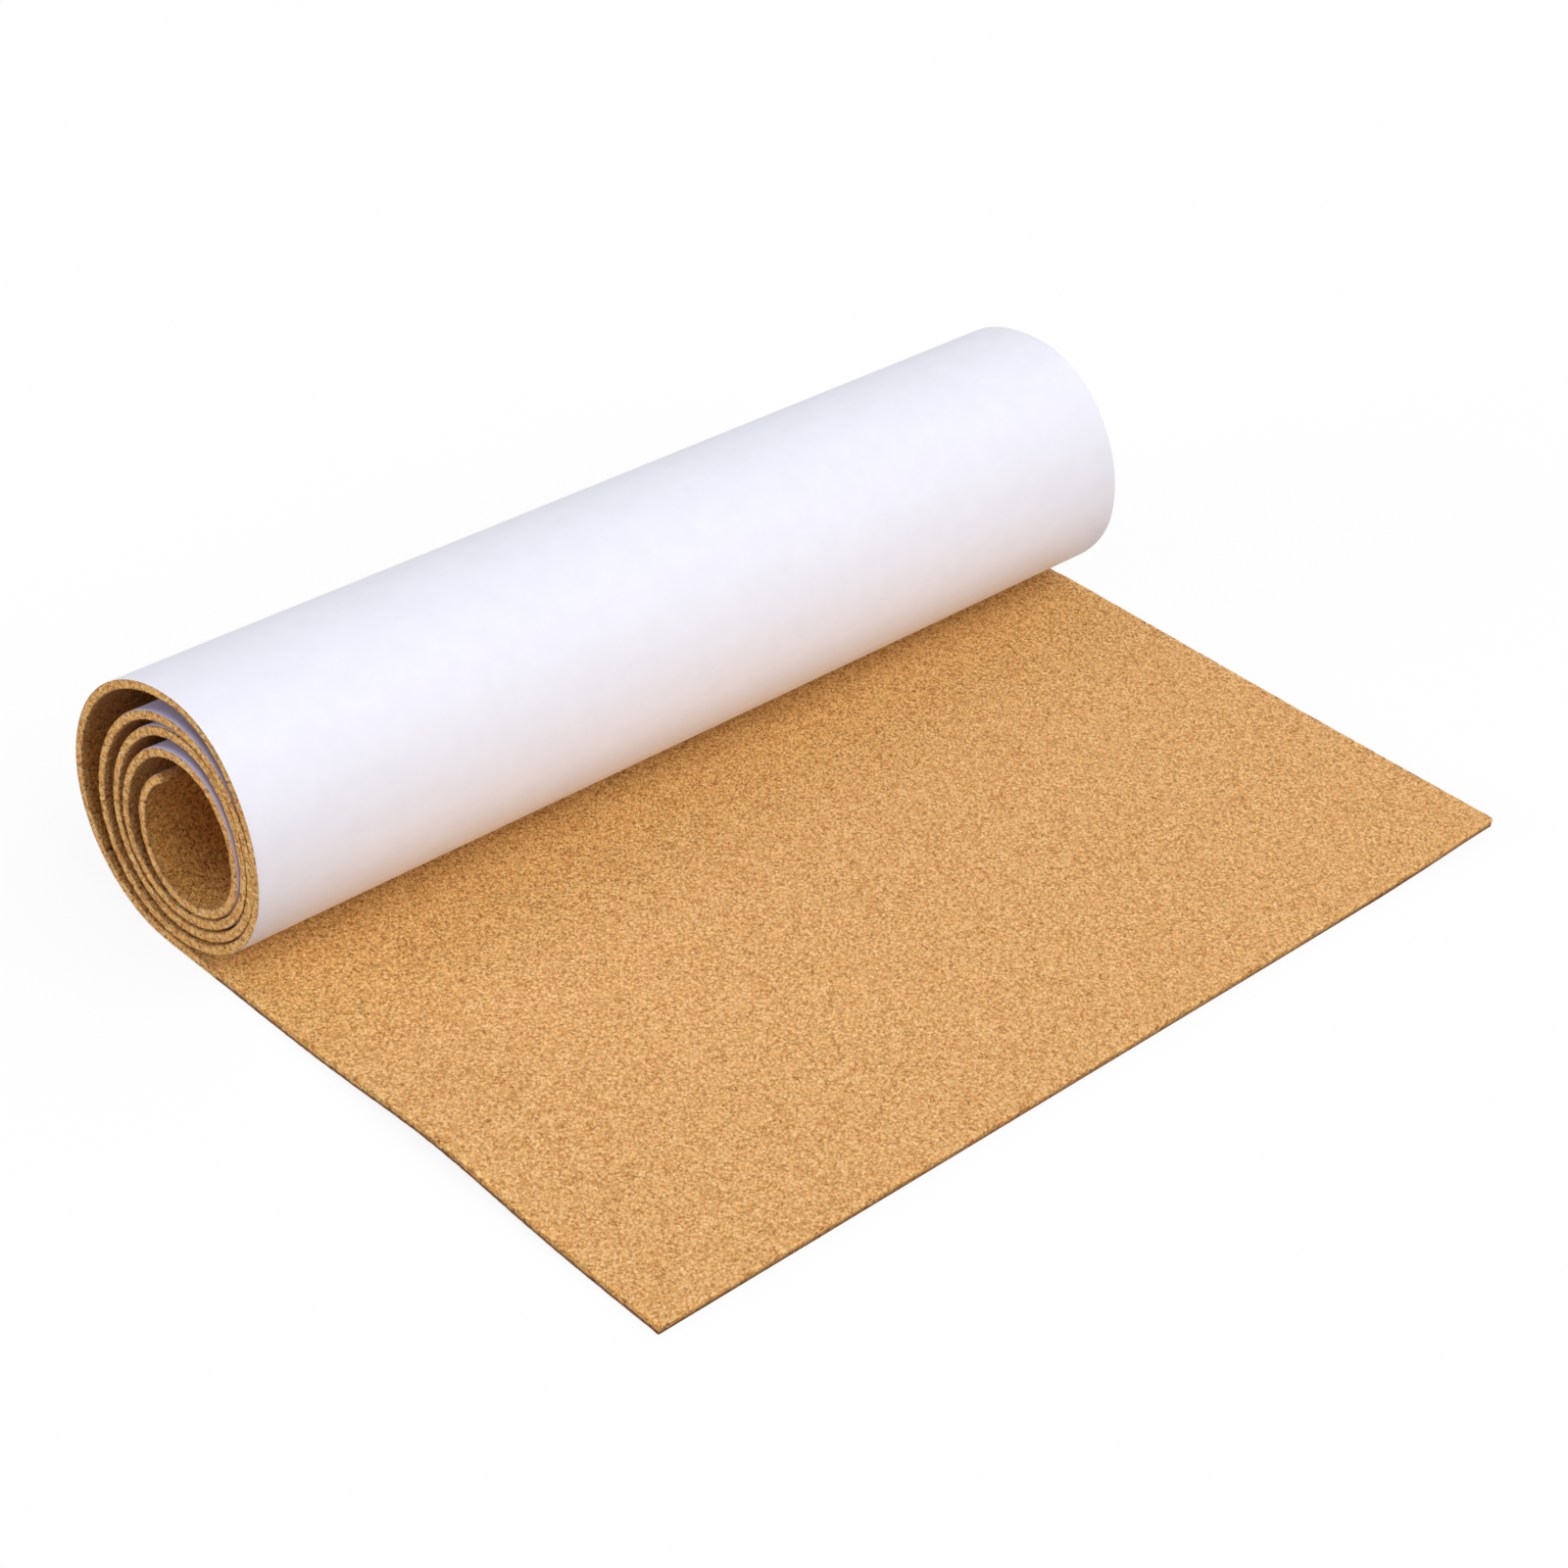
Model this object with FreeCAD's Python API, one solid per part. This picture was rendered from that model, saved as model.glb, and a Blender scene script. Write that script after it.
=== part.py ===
import FreeCAD, Part
import math
import os

# Cork underlayment roll: one sheet of agglomerated cork with a peel-off paper on its back. One end of it
# is wound up loosely and the other lies flat on the floor. X runs along the roll, Z points up, and the
# flat end points to -Y. The paper is on the roll's outside and under the flat part.
# All sizes are in millimetres.

rollWidth = 600.0
corkThickness = 4.8
paperThickness = 0.2
flatLength = 355.0

# The outer turn, on its paper side. Its reaches are measured from the line where the sheet lifts off the
# floor.
rollHeight = 146.0
backReach = 71.0
frontReach = 74.7

# Air between each turn and the next one inside it, at the bottom, back, top and front of the roll.
outerTurnGaps = {"bottom": 1.1, "back": 12.9, "top": 8.5, "front": 0.5}
secondTurnGaps = {"bottom": 2.4, "back": 6.0, "top": 1.7, "front": 0.6}
thirdTurnGaps = {"bottom": 2.1, "back": 3.2, "top": 5.5, "front": 0.8}
fourthTurnGaps = {"bottom": 2.8, "back": 9.0}

# The roll sags on the floor. Its back and front bulge lower than midway between bottom and top, and its
# top lies further forward than midway between back and front. Only the bottoms of the inner turns rest
# further back.
outerTurnSag = {"back": 4.4, "top": 7.7, "front": 6.4}
innerTurnSag = {"bottom": -4.9, "back": 6.7, "top": 3.6, "front": 3.7}

# The inner end's last arc: how much wider it opens than the two arcs before it, and its turn in degrees.
innerEndEase = 2.1
innerEndTurn = 56.1

sides = ("bottom", "back", "top", "front")
quarterTurn = 90.0
sheetThickness = corkThickness + paperThickness


def arcPoint(centre, radius, turn):
    angle = math.radians(turn)
    return (centre[0] + radius * math.sin(angle), centre[1] - radius * math.cos(angle))


def sideLimits():
    # How far the paper side reaches at each side in turn, from the bottom of the outer turn inwards.
    # The bottom and the front are the low ends of Z and Y, so a turn further in lies higher there.
    limits = [0.0, backReach, rollHeight, -frontReach]
    for gaps in (outerTurnGaps, secondTurnGaps, thirdTurnGaps, fourthTurnGaps):
        for side in sides:
            if side in gaps:
                inward = 1 if side in ("bottom", "front") else -1
                limits.append(limits[-4] + inward * (sheetThickness + gaps[side]))
    return limits


def sidePoints():
    # The points where the paper side runs straight along a side, as Y and Z. Each one lies midway between
    # the limits before and after it, moved down or forward by the sag.
    limits = sideLimits()
    points = [(0.0, 0.0)]
    for count in range(1, len(limits)):
        after = limits[count + 1] if count + 1 < len(limits) else limits[count - 3]
        sag = (outerTurnSag if count < len(sides) else innerTurnSag)[sides[count % 4]]
        middle = (limits[count - 1] + after) / 2 - sag
        points.append((limits[count], middle) if count % 2 else (middle, limits[count]))
    return points


def windingArcs():
    # Two arcs of an eighth turn run from each side point to the next, and none of the joins has a kink.
    # Each arc is its centre, radius, start and end, the turn counted in degrees from the bottom of the
    # roll up its back. The two radii are the ones whose arcs add up to the step along and the step in.
    points = sidePoints()
    half = math.sqrt(0.5)
    arcs = []
    for count in range(len(points) - 1):
        start = quarterTurn * count
        stepY = points[count + 1][0] - points[count][0]
        stepZ = points[count + 1][1] - points[count][1]
        cosine, sine = math.cos(math.radians(start)), math.sin(math.radians(start))
        along = stepY * cosine + stepZ * sine
        inwards = stepZ * cosine - stepY * sine
        join = points[count]
        for radius in ((1 + half) * along - half * inwards, (1 + half) * inwards - half * along):
            centre = arcPoint(join, -radius, start)
            end = start + quarterTurn / 2
            arcs.append((centre, radius, start, end))
            join = arcPoint(centre, radius, end)
            start = end
    radius = (arcs[-2][1] + arcs[-1][1]) / 2 + innerEndEase
    arcs.append((arcPoint(join, -radius, start), radius, start, start + innerEndTurn))
    return arcs


def layerFace(arcs, outside, inside, shift):
    # Section of one layer of the sheet between two depths below the paper side.
    def spot(point):
        return FreeCAD.Vector(-rollWidth / 2, point[0] + shift, point[1])

    def chain(depth):
        edges = [Part.makeLine(spot((-flatLength, depth)), spot((0.0, depth)))]
        for centre, radius, start, end in arcs:
            turns = (start, (start + end) / 2, end)
            places = [spot(arcPoint(centre, radius - depth, turn)) for turn in turns]
            edges.append(Part.Arc(*places).toShape())
        return edges

    outer = chain(outside)
    inner = chain(inside)
    frontEdge = Part.makeLine(spot((-flatLength, outside)), spot((-flatLength, inside)))
    centre, radius, _, end = arcs[-1]
    tip = [spot(arcPoint(centre, radius - depth, end)) for depth in (outside, inside)]
    innerTip = Part.makeLine(*tip)
    edges = Part.__sortEdges__([frontEdge] + outer + [innerTip] + inner)
    return Part.Face(Part.Wire(edges))


def layer(arcs, outside, inside, shift):
    return layerFace(arcs, outside, inside, shift).extrude(FreeCAD.Vector(rollWidth, 0, 0))


def main():
    os.makedirs("parts", exist_ok=True)
    arcs = windingArcs()
    # The middle of the whole footprint stands at Y = 0.
    shift = (flatLength - backReach) / 2
    backingPaper = layer(arcs, 0.0, paperThickness, shift)
    corkSheet = layer(arcs, paperThickness, sheetThickness, shift)
    backingPaper.exportStep("parts/backing_paper.step")
    corkSheet.exportStep("parts/cork_sheet.step")
    length = flatLength + sum(radius * math.radians(end - start) for _, radius, start, end in arcs)
    print("sheet length", round(length, 1))
    for name, shape in (("backing_paper", backingPaper), ("cork_sheet", corkSheet)):
        box = shape.BoundBox
        print(name, shape.isValid(), len(shape.Solids), round(shape.Volume), [round(v, 2) for v in
              (box.XMin, box.XMax, box.YMin, box.YMax, box.ZMin, box.ZMax)])


main()
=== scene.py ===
import math
import bpy
import numpy as np
from mathutils import Matrix, Vector


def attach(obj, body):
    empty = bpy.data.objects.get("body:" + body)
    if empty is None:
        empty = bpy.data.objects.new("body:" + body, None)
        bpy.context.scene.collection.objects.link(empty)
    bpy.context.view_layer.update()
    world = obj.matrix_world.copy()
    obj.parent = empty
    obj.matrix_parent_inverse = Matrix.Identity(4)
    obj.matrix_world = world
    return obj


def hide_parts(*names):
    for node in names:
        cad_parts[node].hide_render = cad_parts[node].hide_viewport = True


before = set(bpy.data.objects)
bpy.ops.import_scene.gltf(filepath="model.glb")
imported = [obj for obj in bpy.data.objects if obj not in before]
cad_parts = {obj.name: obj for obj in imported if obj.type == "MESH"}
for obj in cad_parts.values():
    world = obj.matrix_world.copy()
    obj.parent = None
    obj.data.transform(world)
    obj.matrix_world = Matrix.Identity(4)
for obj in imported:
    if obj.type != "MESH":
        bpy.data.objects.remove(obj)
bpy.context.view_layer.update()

mm = 0.001


def tone(red, green, blue):  # a screen colour of 0 to 255 as the linear colour that a shader takes
    shares = [v / 255 for v in (red, green, blue)]
    return tuple(v / 12.92 if v <= 0.04045 else ((v + 0.055) / 1.055) ** 2.4 for v in shares) + (1.0,)


# camera: an 82 mm lens at the photograph's place, heading and roll
camera = {"place": (-1.0966, -0.9957, 1.0712), "lens": 81.62, "sensor": 36.0,
          "heading": 47.127, "down": 34.843, "roll": 5.365}


def makeCamera(c):
    eye = bpy.data.objects.new("camera", bpy.data.cameras.new("camera"))
    bpy.context.scene.collection.objects.link(eye)
    turn = Matrix.Rotation(-math.radians(c["heading"]), 4, "Z")
    tip = Matrix.Rotation(math.radians(90 - c["down"]), 4, "X")
    roll = Matrix.Rotation(math.radians(c["roll"]), 4, "Z")
    eye.matrix_world = Matrix.Translation(c["place"]) @ turn @ tip @ roll
    eye.data.lens = c["lens"]
    eye.data.sensor_width = c["sensor"]
    bpy.context.scene.camera = eye


makeCamera(camera)
bpy.context.scene.view_settings.view_transform = "Standard"
print("camera done")


# winding: the sheet's section, the same as the solids', in millimetres
winding = {"width": 600.0, "cork": 4.8, "paper": 0.2, "flat": 355.0,
           "height": 146.0, "back": 71.0, "front": 74.7,
           "gaps": (1.1, 12.9, 8.5, 0.5, 2.4, 6.0, 1.7, 0.6, 2.1, 3.2, 5.5, 0.8, 2.8, 9.0),
           "outerSag": (0.0, 4.4, 7.7, 6.4), "innerSag": (-4.9, 6.7, 3.6, 3.7),
           "endEase": 2.1, "endTurn": 56.1}


def windingArcs(w):
    # rows of centre Y, centre Z, radius, start and end angle of each arc of the paper side
    thick = w["cork"] + w["paper"]
    limits = [0.0, w["back"], w["height"], -w["front"]]
    # bottom and front are the low ends, so there the next turn in is higher
    for count, gap in enumerate(w["gaps"]):
        limits.append(limits[-4] + (thick + gap) * (1 if count % 4 in (0, 3) else -1))
    points = [(0.0, 0.0)]
    for count in range(1, len(limits)):
        after = limits[count + 1] if count + 1 < len(limits) else limits[count - 3]
        middle = (limits[count - 1] + after) / 2 - w["outerSag" if count < 4 else "innerSag"][count % 4]
        points.append((limits[count], middle) if count % 2 else (middle, limits[count]))
    half, rows, join = math.sqrt(0.5), [], (0.0, 0.0)
    for count in range(len(points) - 1):
        start = math.pi / 2 * count
        stepY = points[count + 1][0] - points[count][0]
        stepZ = points[count + 1][1] - points[count][1]
        along = stepY * math.cos(start) + stepZ * math.sin(start)
        inwards = stepZ * math.cos(start) - stepY * math.sin(start)
        join = points[count]
        for radius in ((1 + half) * along - half * inwards, (1 + half) * inwards - half * along):
            centre = (join[0] - radius * math.sin(start), join[1] + radius * math.cos(start))
            rows.append((*centre, radius, start, start + math.pi / 4))
            start += math.pi / 4
            join = (centre[0] + radius * math.sin(start), centre[1] - radius * math.cos(start))
    radius = (rows[-2][2] + rows[-1][2]) / 2 + w["endEase"]
    centre = (join[0] - radius * math.sin(start), join[1] + radius * math.cos(start))
    rows.append((*centre, radius, start, start + math.radians(w["endTurn"])))
    return np.array(rows)


arcs = windingArcs(winding)
arcLengths = arcs[:, 2] * (arcs[:, 4] - arcs[:, 3])
arcStarts = winding["flat"] + np.concatenate([[0.0], np.cumsum(arcLengths)])
sheetLength = arcStarts[-1]
shiftY = (winding["flat"] - winding["back"]) / 2


def paperSide(along):
    # Y, Z and turning angle of the paper side, at a length along the sheet from its flat end
    piece = np.clip(np.searchsorted(arcStarts, along, side="right") - 1, 0, len(arcs) - 1)
    row = arcs[piece]
    angle = row[:, 3] + (along - arcStarts[piece]) / row[:, 2]
    onFlat = along < winding["flat"]
    angle = np.where(onFlat, 0.0, angle)
    y = np.where(onFlat, along - winding["flat"], row[:, 0] + row[:, 2] * np.sin(angle))
    z = np.where(onFlat, 0.0, row[:, 1] - row[:, 2] * np.cos(angle))
    return y + shiftY, z, angle


def blendedGrid(u, v, seed):
    # random values on whole numbers, joined smoothly in between; from -1 to 1
    grid = np.random.default_rng(seed).uniform(-1, 1, (64, 64))
    iu, iv = np.floor(u).astype(int), np.floor(v).astype(int)
    fu, fv = u - iu, v - iv
    fu, fv = fu * fu * (3 - 2 * fu), fv * fv * (3 - 2 * fv)
    a, b = grid[iu % 64, iv % 64], grid[(iu + 1) % 64, iv % 64]
    c, d = grid[iu % 64, (iv + 1) % 64], grid[(iu + 1) % 64, (iv + 1) % 64]
    return (a * (1 - fu) + b * fu) * (1 - fv) + (c * (1 - fu) + d * fu) * fv


# unevenness of the flat part: its left edge humps up a little, and its right edge doesn't quite lie down
lifts = {"leftHeight": 5.0, "leftPlace": -202.0, "leftSpread": 62.0, "leftReach": 70.0,
         "rightHeight": 2.2, "cornerHeight": 1.6, "rightReach": 60.0}


def flatLift(x, y):  # bell along the edge times a bell across it, and none where the roll stands
    f, local = lifts, y - shiftY
    left = f["leftHeight"] * np.exp(-((local - f["leftPlace"]) / f["leftSpread"]) ** 2)
    left = left * np.exp(-((x + winding["width"] / 2) / f["leftReach"]) ** 2)
    right = f["rightHeight"] + f["cornerHeight"] * np.clip((-150 - local) / 200, 0, 1) ** 2
    right = right * np.exp(-((x - winding["width"] / 2) / f["rightReach"]) ** 2)
    return (left + right) * np.clip(-local / 60, 0, 1) ** 2 * (3 - 2 * np.clip(-local / 60, 0, 1))


# how far the wound turns' ends stand back from the full width, by the count of turns from the floor inwards
endSteps = {"nearTurns": (0, 1.0, 1.5, 2.3, 2.75, 3.1, 3.6, 4.4),
            "near": (0, 0.1, 0.5, 0.8, 0.8, 0.6, 0.1, 0),
            "farTurns": (0, 0.4, 0.47, 0.58, 0.7, 0.8, 1.2, 4.4),
            "far": (0, 0.3, 5.5, 5.5, 2.0, 0, 0.4, 1.0),
            "wander": 0.5, "wanderLength": 170.0, "band": 6.0}


def turnsAt(along):
    # the count of turns from the floor inwards, as a column with one row for each length along the sheet
    return (paperSide(along)[2] / (2 * math.pi))[:, None]


def endSide(x):
    # -1 or 1 in the band at the sheet's low or high end of X, 0 in between
    return np.sign(x) * (np.abs(x) > winding["width"] / 2 - endSteps["band"])


def endStep(along, side):
    # the profile of that end, plus a slow wander of the inner turns
    e, turns = endSteps, turnsAt(along)
    near = np.interp(turns, e["nearTurns"], e["near"])
    far = np.interp(turns, e["farTurns"], e["far"])
    wander = 0.5 + 0.5 * blendedGrid(along[:, None] / e["wanderLength"], 3 * side, 13)
    return np.where(side < 0, near, far) + e["wander"] * np.clip(turns - 1, 0, 1) * wander


def carriedLoop(name, along, acrossX, depth, footBack):
    # a closed loop across the sheet (place in X, depth below the paper side), carried along its length;
    # point = paper side at that length, moved inwards by the depth and back by footBack; the ends are closed
    y, z, angle = paperSide(along)
    y, z, angle = y[:, None], z[:, None], angle[:, None]
    onFlat = (along <= winding["flat"])[:, None]
    placeY = y - depth * np.sin(angle) + footBack
    placeZ = z + depth * np.cos(angle) + np.where(onFlat, flatLift(acrossX, y), 0.0)
    points = np.stack([np.broadcast_to(acrossX, placeY.shape), placeY, placeZ], axis=2).reshape(-1, 3) * mm
    rows, columns = placeY.shape
    index = np.arange(rows * columns).reshape(rows, columns)
    right = np.roll(index, -1, axis=1)
    quads = np.stack([index[:-1], index[1:], right[1:], right[:-1]], axis=2).reshape(-1, 4)
    faces = quads.tolist() + [index[0].tolist(), index[-1][::-1].tolist()]
    mesh = bpy.data.meshes.new(name)
    mesh.from_pydata(points.tolist(), [], faces)
    mesh.shade_smooth()
    mesh.set_sharp_from_angle(angle=math.radians(50))
    mesh.update()
    piece = bpy.data.objects.new(name, mesh)
    bpy.context.scene.collection.objects.link(piece)
    return piece


def sectionLoop(halfWidth, spots, edgeSteps, depthOut, depthIn, roundOut, roundIn):
    # loop of X and depth that starts on the inner face at low X: across the inner face, down the high edge,
    # back across the outer face and up the low edge, with both arrises rounded
    def corner(radius, count):
        turn = np.linspace(0, np.pi / 2, count)
        return radius * (1 - np.sin(turn)), radius * (1 - np.cos(turn))
    inset, fall = corner(roundIn, 4)
    insetOut, rise = corner(roundOut, 3)
    sideDepth = np.linspace(depthIn - roundIn, depthOut + roundOut, edgeSteps)[1:-1]
    sideX = np.full(sideDepth.shape, halfWidth)
    edgeX = np.concatenate([halfWidth - inset, sideX, halfWidth - insetOut[::-1]])
    edgeDepth = np.concatenate([depthIn - fall, sideDepth, depthOut + rise[::-1]])
    inner = spots * (halfWidth - roundIn)
    outer = spots[::-1] * (halfWidth - roundOut)
    x = np.concatenate([inner[1:-1], edgeX, outer[1:-1], -edgeX[::-1]])
    depth = np.concatenate([np.full(inner.size - 2, depthIn), edgeDepth, np.full(outer.size - 2, depthOut),
                            edgeDepth[::-1]])
    return x, depth


def spreadOut(loop, along):
    # the same loop of X and depth at each length along the sheet
    return [np.repeat(row[None], along.size, axis=0) for row in loop]


# cork sheet
cork = {"step": 1.15, "flatStep": 2.0, "tipSteps": (1.2, 0.7, 0.35, 0.12, 0.0), "glue": 0.03,
        "arris": 0.6, "glueArris": 0.12, "frontArris": 1.3, "leftCorner": 0.4, "rightCorner": 1.6,
        "crumb": 0.34, "crumbSize": 2.2, "fineAlong": 1.3, "fineDeep": 1.1,
        "undercut": 0.3, "undercutEase": 60.0, "frontUndercutEase": 6.0,
        "cutBand": 2.0, "frontBand": 0.8, "tipBand": 1.3}
faceSpots = np.array([-1, -0.99, -0.965, -0.93, -0.88, -0.8, -0.68, -0.4, 0,
                      0.4, 0.68, 0.8, 0.88, 0.93, 0.965, 0.99, 1])

# painted shade on the cork: darker by the count of turns inside the roll, by the roll on the flat part, near
# the roll's two openings, and on the cut edges; each foot is the least darkness, what is added at the foot,
# where that starts and how soon it is full
corkShade = {"turns": (0, 0.15, 3.0, 3.6, 4.4), "inside": (0.5, 0.95, 0.95, 0.64, 0.64),
             "byRoll": 0.5, "reach": 155.0, "rise": 80.0, "liftOff": 0.02, "openingDark": 0.16,
             "openingReach": 35.0, "arris": 0.5, "arrisWidth": 0.7, "glue": 0.35, "glueWidth": 0.5,
             "touchingTurn": 255.0, "touchingLoss": 0.7, "beforeRoll": 40.0,
             "leftFoot": (0.05, 0.9, 2.4, 1.0), "otherFoot": (0.3, 0.6, 2.2, 1.2)}


def paintedShadeShare(s, along, x):
    # painted shade on the cork face, as a share: 0 out on the flat part, half by the roll, less in the bore
    # than in the gaps between the turns, and a little more near the openings
    turns = turnsAt(along)
    rise = np.clip((along - winding["flat"] + s["reach"]) / s["rise"], 0, 1)[:, None]
    inside = np.interp(turns, s["turns"], s["inside"])
    inside = inside + s["openingDark"] * np.exp(-(winding["width"] / 2 - np.abs(x)) / s["openingReach"])
    return np.where(turns > s["liftOff"], np.minimum(inside, 1), s["byRoll"] * rise * rise * (3 - 2 * rise))


# painted shade that rises towards the foot of a cut edge
def footDark(foot, depth):
    least, added, top, ease = foot
    return least + added * np.clip((top - depth) / ease, 0, 1)


def paintedEdgeLight(s, along, side, depth, onEdge):
    # painted shade on the cut edges: darker at both arrises, less so where the turns touch at the roll's
    # front and their ends run together; on the flat part they are dark from the foot up
    thick = winding["cork"] + winding["paper"]
    arris = s["arris"] * np.exp(-((thick - depth) / s["arrisWidth"]) ** 2)
    arris = arris + s["glue"] * np.exp(-((depth - winding["paper"]) / s["glueWidth"]) ** 2)
    fromFront = paperSide(along)[2] - math.radians(s["touchingTurn"])
    touching = np.clip(1.5 * np.cos(fromFront) - 0.3, 0, 1)[:, None]
    arris = arris * (1 - s["touchingLoss"] * touching)
    foot = np.where(side < 0, footDark(s["leftFoot"], depth), footDark(s["otherFoot"], depth))
    flatEdge = np.where(depth > thick - 0.05, 0, foot)
    onFlat = (along < winding["flat"] - s["beforeRoll"])[:, None]
    return 1 - onEdge * np.where(onFlat, flatEdge, arris)


def makeCork(c):
    thick, half = winding["cork"] + winding["paper"], winding["width"] / 2
    nose = c["frontArris"] * (1 - np.cos(np.linspace(0, np.pi / 2, 6)))
    tip = sheetLength - np.array(c["tipSteps"])
    along = np.concatenate([nose, np.arange(nose[-1] + 1, winding["flat"], c["flatStep"]),
                            np.arange(winding["flat"], tip[0], c["step"]), tip])
    loop = sectionLoop(half, faceSpots, 8, winding["paper"] + c["glue"], thick, c["glueArris"], c["arris"])
    x, depth = spreadOut(loop, along)
    side = endSide(x)
    # granules: the cut edges are pushed in by different amounts
    grain = blendedGrid(along[:, None] / c["crumbSize"] + 40 * side, depth / c["crumbSize"] * 1.3, 11)
    fine = blendedGrid(along[:, None] / c["fineAlong"] + 17 * side, depth / c["fineDeep"], 12)
    x = x - side * c["crumb"] * np.maximum(0.6 + 0.65 * grain + 0.35 * fine, 0)
    onEdge = (np.abs(x) > half - c["cutBand"]).astype(float)
    onEdge[along < c["frontBand"]] = onEdge[along > sheetLength - c["tipBand"]] = 1.0
    # painted shade on the cut edges, kept as the share of light left
    light = paintedEdgeLight(corkShade, along, side, depth, onEdge)
    x = x - side * endStep(along, side)
    # the flat part's cut edges: the foot further in than the upper arris, and the two corners rounded
    foot = c["undercut"] * (1 - depth / thick)
    x = x - side * foot * np.clip((winding["flat"] - along) / c["undercutEase"], 0, 1)[:, None]
    for end, radius in ((-1, c["leftCorner"]), (1, c["rightCorner"])):
        cutIn = radius * (1 - np.sqrt(1 - np.clip(1 - along / radius, 0, 1) ** 2))[:, None]
        x = np.where(side == end, x - end * cutIn, x)
    # the front edge's upper arris
    ahead = np.clip(along / c["frontArris"], 0, 1)[:, None]
    drop = c["frontArris"] * (1 - np.sqrt(1 - (1 - ahead) ** 2))
    depth = np.where(depth > thick / 2, np.minimum(depth, thick - drop), depth)
    footBack = foot * np.clip(1 - along / c["frontUndercutEase"], 0, 1)[:, None]
    sheet = carriedLoop("cork_sheet_wound", along, x, depth, footBack)
    # painted shade inside the roll, by it on the flat part and near its openings
    shadeAmount = paintedShadeShare(corkShade, along, x)
    for name, values in (("cutFace", onEdge), ("paintedShadeShare", shadeAmount), ("paintedEdgeLight", light)):
        sheet.data.attributes.new(name, "FLOAT", "POINT").data.foreach_set("value", values.ravel())
    return sheet


corkSheet = makeCork(cork)
print("cork sheet done", len(corkSheet.data.polygons))


# backing paper
paper = {"step": 3.0, "flatSteps": 120, "arris": 0.05, "behindCork": 0.15, "behindEnd": 2.5,
         "turns": (0.8, 0.95, 1.35, 1.42, 1.6, 1.68, 2.4, 3.35, 3.42, 3.78, 3.85, 4.4),
         "behindWound": (0, 1.2, 1.2, 0.2, 0.2, 1.3, 1.3, 1.3, 0.2, 0.2, 1.2, 1.2)}


def makePaper(p):
    start, end = cork["undercut"] + p["behindCork"], sheetLength - p["behindEnd"]
    woundSteps = int((sheetLength - winding["flat"]) / p["step"])
    along = np.concatenate([np.linspace(start, winding["flat"], p["flatSteps"])[:-1],
                            np.linspace(winding["flat"], end, woundSteps)])
    half = winding["width"] / 2 - p["behindCork"]
    loop = sectionLoop(half, faceSpots, 3, 0.0, winding["paper"], p["arris"], p["arris"])
    x, depth = spreadOut(loop, along)
    side = endSide(x)
    onFlat = np.clip((winding["flat"] - along) / cork["undercutEase"], 0, 1)[:, None]
    # the turns' paper ends a little behind the cork's cut edge, more so where two turns touch
    turns = turnsAt(along)
    inset = cork["undercut"] * onFlat + np.interp(turns, p["turns"], p["behindWound"])
    x = x - side * (inset + endStep(along, side))
    sheet = carriedLoop("backing_paper_wound", along, x, depth, 0.0)
    # painted shade on the paper of the inner turns, inside the roll
    paintedRollShade = np.repeat(np.clip(4 * turns - 4, 0, 1), x.shape[1], axis=1)
    sheet.data.attributes.new("paintedRollShade", "FLOAT", "POINT").data.foreach_set("value", paintedRollShade.ravel())
    return sheet


backingPaper = makePaper(paper)
print("backing paper done", len(backingPaper.data.polygons))


def add(tree, kind, settings=None, **sockets):
    # one shader node: settings are its own properties, and each socket gets a link or a plain value;
    # a socket is given by its name, or by its number as i0, i1 and so on
    node = tree.nodes.new("ShaderNode" + kind)
    for key, value in (settings or {}).items():
        setattr(node, key, value)
    for key, value in sockets.items():
        byNumber = key[0] == "i" and key[1:].isdigit()
        socket = node.inputs[int(key[1:]) if byNumber else key.replace("_", " ")]
        if isinstance(value, bpy.types.NodeSocket):
            tree.links.new(value, socket)
        else:
            socket.default_value = value
    return node


def startMaterial(name):
    material = bpy.data.materials.new(name)
    material.use_nodes = True
    tree = material.node_tree
    tree.nodes.clear()
    return material, tree


def ramp(tree, factor, stops):
    node = add(tree, "ValToRGB", i0=factor)
    while len(node.color_ramp.elements) < len(stops):
        node.color_ramp.elements.new(0.5)
    for element, (place, colour) in zip(node.color_ramp.elements, stops):
        element.position = place
        element.color = colour
    return node.outputs["Color"]


corkLook = {"granule": 1.65, "fine": 0.9, "drawnOut": 1.2, "drawnTurn": -47.0, "warp": 1.4, "warpBy": 0.9,
            "bump": 0.5, "fineBump": 0.4, "roughness": 0.85, "creviceFrom": 0.35, "creviceTo": 0.75,
            # speck: painted shade, deeper small specks where the cork is shaded
            "shadeSpeck": [(0.0, (0.5, 0.5, 0.5, 1)), (0.4, (1, 1, 1, 1))],
            "face": [(0.0, tone(170, 112, 44)), (0.3, tone(234, 177, 106)), (0.7, tone(252, 198, 130)),
                     (1.0, tone(255, 220, 158))],
            "cut": [(0.0, tone(104, 58, 18)), (0.3, tone(224, 152, 74)), (0.7, tone(252, 194, 110)),
                    (1.0, tone(255, 226, 158))],
            # tint: painted shade colours, by the shaded share
            "shadeTint": [(0.0, (1, 1, 1, 1)), (0.5, (0.95, 0.95, 0.85, 1)), (0.75, (1, 0.93, 0.66, 1)),
                     (1.0, (0.6, 0.42, 0.12, 1))],
            # crevice: painted shade between the granules; edge: the dark colour of the painted shade on the
            # cut edges
            "creviceShade": (0.78, 0.66, 0.48, 1), "edge": [(0.0, (0.2, 0.1, 0.03, 1)), (1.0, (1, 1, 1, 1))]}


def mixColour(tree, factor, first, second, blend="MIX"):
    node = add(tree, "Mix", {"data_type": "RGBA", "blend_type": blend}, i0=factor, i6=first, i7=second)
    return node.outputs[2]


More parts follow.
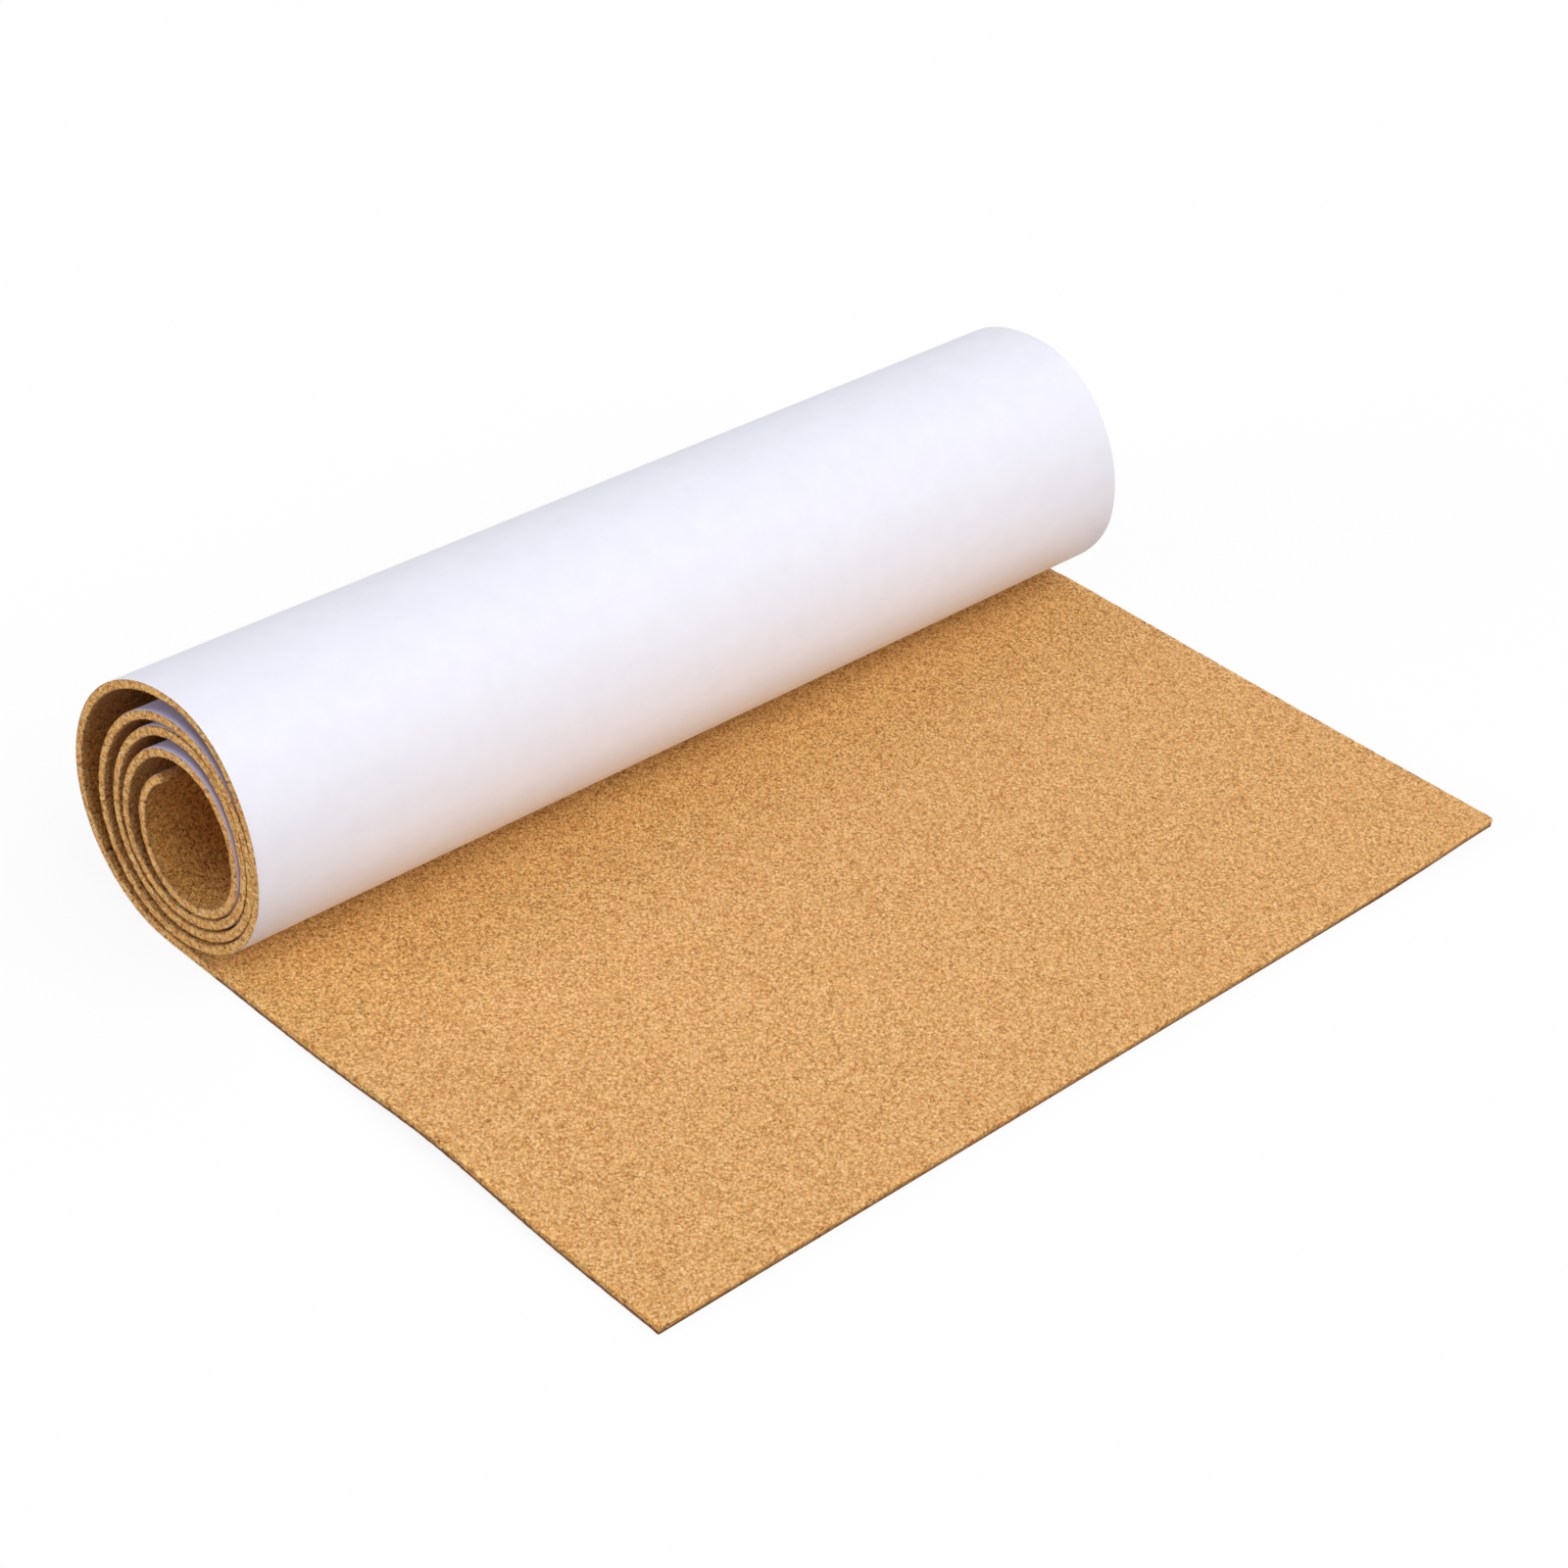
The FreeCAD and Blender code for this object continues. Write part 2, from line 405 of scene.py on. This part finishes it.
def corkMaterial(c):
    material, tree = startMaterial("agglomerated_cork")
    spot = add(tree, "TexCoord").outputs["Object"]
    cut = add(tree, "Attribute", {"attribute_name": "cutFace"}).outputs["Fac"]
    # the granules are drawn out a little along one level direction
    turn = (0, 0, math.radians(c["drawnTurn"]))
    spot = add(tree, "Mapping", {"vector_type": "TEXTURE"}, Vector=spot, Rotation=turn,
               Scale=(1, c["drawnOut"], 1)).outputs[0]
    warp = add(tree, "TexNoise", Vector=spot, Scale=1 / (c["warp"] * mm), Detail=2.0)
    shifted = add(tree, "VectorMath", {"operation": "SCALE"}, i0=warp.outputs["Color"],
                  Scale=c["warpBy"] * mm)
    placed = add(tree, "VectorMath", {"operation": "ADD"}, i0=spot, i1=shifted.outputs[0]).outputs[0]
    big = add(tree, "TexVoronoi", Vector=placed, Scale=1 / (c["granule"] * mm))
    small = add(tree, "TexVoronoi", Vector=placed, Scale=1 / (c["fine"] * mm))
    bigValue = add(tree, "SeparateColor", Color=big.outputs["Color"]).outputs[0]
    smallValue = add(tree, "SeparateColor", Color=small.outputs["Color"]).outputs[0]
    # painted shade: by the shaded share the face takes a darker tint and deeper specks
    shadeAmount = add(tree, "Attribute", {"attribute_name": "paintedShadeShare"}).outputs["Fac"]
    shadeTint = ramp(tree, shadeAmount, c["shadeTint"])
    shadeSpeck = ramp(tree, smallValue, c["shadeSpeck"])
    # painted shade in the crevices between the granules
    creviceShade = add(tree, "MapRange", i0=big.outputs["Distance"], i1=c["creviceFrom"],
                  i2=c["creviceTo"]).outputs[0]
    face = mixColour(tree, 0.68, ramp(tree, bigValue, c["face"]), ramp(tree, smallValue, c["face"]))
    face = mixColour(tree, creviceShade, face, c["creviceShade"], "MULTIPLY")
    face = mixColour(tree, shadeAmount, face, shadeSpeck, "MULTIPLY")
    face = mixColour(tree, 1.0, face, shadeTint, "MULTIPLY")
    end = mixColour(tree, 0.5, ramp(tree, bigValue, c["cut"]), ramp(tree, smallValue, c["cut"]))
    # painted shade on the cut edges, from the edge light share
    light = ramp(tree, add(tree, "Attribute", {"attribute_name": "paintedEdgeLight"}).outputs["Fac"], c["edge"])
    colour = mixColour(tree, 1.0, mixColour(tree, cut, face, end), light, "MULTIPLY")
    bumpFine = add(tree, "Bump", {"invert": True}, Strength=1.0, Distance=c["fineBump"] * mm,
                   Height=small.outputs["Distance"])
    bump = add(tree, "Bump", {"invert": True}, Strength=1.0, Distance=c["bump"] * mm,
               Height=big.outputs["Distance"], Normal=bumpFine.outputs[0])
    shader = add(tree, "BsdfPrincipled", Base_Color=colour, Roughness=c["roughness"], Normal=bump.outputs[0])
    add(tree, "OutputMaterial", Surface=shader.outputs[0])
    return material


# the last colour is the painted shade of the paper inside the roll
paperLook = {"low": tone(235, 236, 243), "high": tone(244, 245, 252), "patch": 14.0, "roughness": 0.5,
             "paintedRollShade": (0.77, 0.72, 0.94, 1)}


def paperMaterial(p):
    material, tree = startMaterial("release_paper")
    spot = add(tree, "TexCoord").outputs["Object"]
    cloud = add(tree, "TexNoise", Vector=spot, Scale=1 / (p["patch"] * mm), Detail=4.0, Roughness=0.6)
    colour = mixColour(tree, cloud.outputs[0], p["low"], p["high"])
    # painted shade: the paper inside the roll is darker and lilac
    paintedRollShade = add(tree, "Attribute", {"attribute_name": "paintedRollShade"}).outputs["Fac"]
    colour = mixColour(tree, paintedRollShade, colour, p["paintedRollShade"], "MULTIPLY")
    shader = add(tree, "BsdfPrincipled", Base_Color=colour, Roughness=p["roughness"])
    add(tree, "OutputMaterial", Surface=shader.outputs[0])
    return material


corkSheet.data.materials.append(corkMaterial(corkLook))
backingPaper.data.materials.append(paperMaterial(paperLook))
print("materials done")

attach(corkSheet, "root")
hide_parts("cork_sheet")
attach(backingPaper, "root")
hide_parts("backing_paper")


# studio: pale floor, a broad soft key from above, a low side light on the roll's end, an even sky
studio = {"floorSize": 12.0, "floorDrop": 0.25, "shown": 0.9, "bounce": tone(122, 117, 114),
          "skyLow": 0.25, "skyHigh": 0.6, "skyFrom": (0.85, -0.35, 0.4), "skyTint": (0.98, 0.96, 1.06, 1.0),
          "key": 1.76, "keySpread": 60.0, "keyFrom": (0.1, -0.66, 0.75),
          "side": 2.1, "sideSpread": 40.0, "sideFrom": (-0.92, 0.36, 0.1)}


def shownToEye(tree):
    # 1 for what the camera, a reflection or a clear material shows, 0 for light on the object
    path = add(tree, "LightPath").outputs
    first = add(tree, "Math", {"operation": "MAXIMUM"}, i0=path["Is Camera Ray"], i1=path["Is Glossy Ray"])
    every = add(tree, "Math", {"operation": "MAXIMUM"}, i0=first.outputs[0], i1=path["Is Transmission Ray"])
    return every.outputs[0]


def makeLamp(name, strength, spread, source):
    lamp = bpy.data.objects.new(name, bpy.data.lights.new(name, "SUN"))
    bpy.context.scene.collection.objects.link(lamp)
    lamp.data.energy = strength
    lamp.data.angle = math.radians(spread)
    lamp.matrix_world = Vector(source).to_track_quat("Z", "Y").to_matrix().to_4x4()


def makeStudio(s):
    half = s["floorSize"] / 2
    mesh = bpy.data.meshes.new("studio_floor")
    low = -s["floorDrop"] * mm
    corners = [(-half, -half, low), (half, -half, low), (half, half, low), (-half, half, low)]
    mesh.from_pydata(corners, [], [(0, 1, 2, 3)])
    floor = bpy.data.objects.new("studio_floor", mesh)
    bpy.context.scene.collection.objects.link(floor)
    material, tree = startMaterial("studio_white")
    seen = shownToEye(tree)
    share = add(tree, "Math", {"operation": "MULTIPLY"}, i0=seen, i1=s["shown"]).outputs[0]
    colour = mixColour(tree, seen, s["bounce"], (1, 1, 1, 1))
    plain = add(tree, "BsdfDiffuse", Color=colour)
    glow = add(tree, "Emission", Color=(1, 1, 1, 1), Strength=1.0)
    both = add(tree, "MixShader", i0=share, i1=plain.outputs[0], i2=glow.outputs[0])
    add(tree, "OutputMaterial", Surface=both.outputs[0])
    floor.data.materials.append(material)
    world = bpy.data.worlds.new("studio_sky")
    bpy.context.scene.world = world
    world.use_nodes = True
    tree = world.node_tree
    tree.nodes.clear()
    way = add(tree, "TexCoord").outputs["Generated"]  # in a sky, this is the direction looked in
    towards = add(tree, "VectorMath", {"operation": "DOT_PRODUCT"}, i0=way, i1=s["skyFrom"]).outputs["Value"]
    level = add(tree, "MapRange", {"interpolation_type": "SMOOTHSTEP"}, i0=towards, i1=-0.5, i2=0.7,
                i3=s["skyLow"], i4=s["skyHigh"]).outputs[0]
    light = add(tree, "Background", Color=s["skyTint"], Strength=level)
    white = add(tree, "Background", Color=(1, 1, 1, 1), Strength=1.0)
    both = add(tree, "MixShader", i0=shownToEye(tree), i1=light.outputs[0], i2=white.outputs[0])
    add(tree, "OutputWorld", Surface=both.outputs[0])
    makeLamp("key_light", s["key"], s["keySpread"], s["keyFrom"])
    makeLamp("side_light", s["side"], s["sideSpread"], s["sideFrom"])


makeStudio(studio)
print("studio done")
